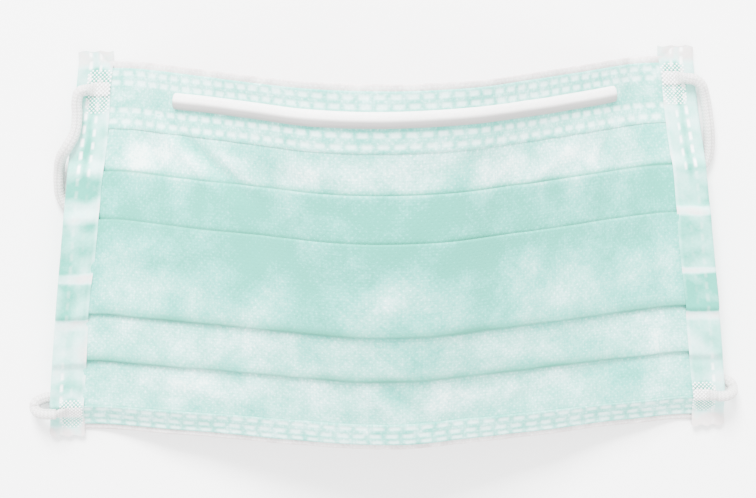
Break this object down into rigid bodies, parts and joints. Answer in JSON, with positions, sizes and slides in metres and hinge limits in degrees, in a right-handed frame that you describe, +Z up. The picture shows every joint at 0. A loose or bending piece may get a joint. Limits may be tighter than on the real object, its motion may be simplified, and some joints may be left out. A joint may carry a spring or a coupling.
{
  "type": "disposable surgical face mask",
  "caption": "Pleated non-woven surgical face mask with a nose strip, side tapes and elastic ear loops, lying outer face up.",
  "frame": {"origin": "middle of the mask's footprint on the surface it lies on", "axes": "+X along the width toward the wearer's right tape as the picture shows it, +Y toward the nose edge, +Z up out of the outer face"},
  "size_m": [0.1766, 0.0958, 0.0449],
  "materials": {
    "mint_cloth": "matte non-woven",
    "mint_band": "matte non-woven, bonded",
    "white_lining": "matte non-woven",
    "nose_strip": "satin",
    "side_tape": "thin translucent non-woven",
    "elastic": "knitted elastic"
  },
  "bodies": {
    "root": {"pleated_panel": "mint_cloth", "top_hem": "mint_band", "bottom_hem": "mint_band", "top_lining": "white_lining", "bottom_lining": "white_lining", "nose_strip": "nose_strip", "left_tape": "side_tape", "right_tape": "side_tape", "left_upper_loop_tab": "elastic", "left_lower_loop_tab": "elastic", "right_upper_loop_tab": "elastic", "right_lower_loop_tab": "elastic", "left_ear_loop": "elastic", "right_ear_loop": "elastic"}
  },
  "joints": []
}
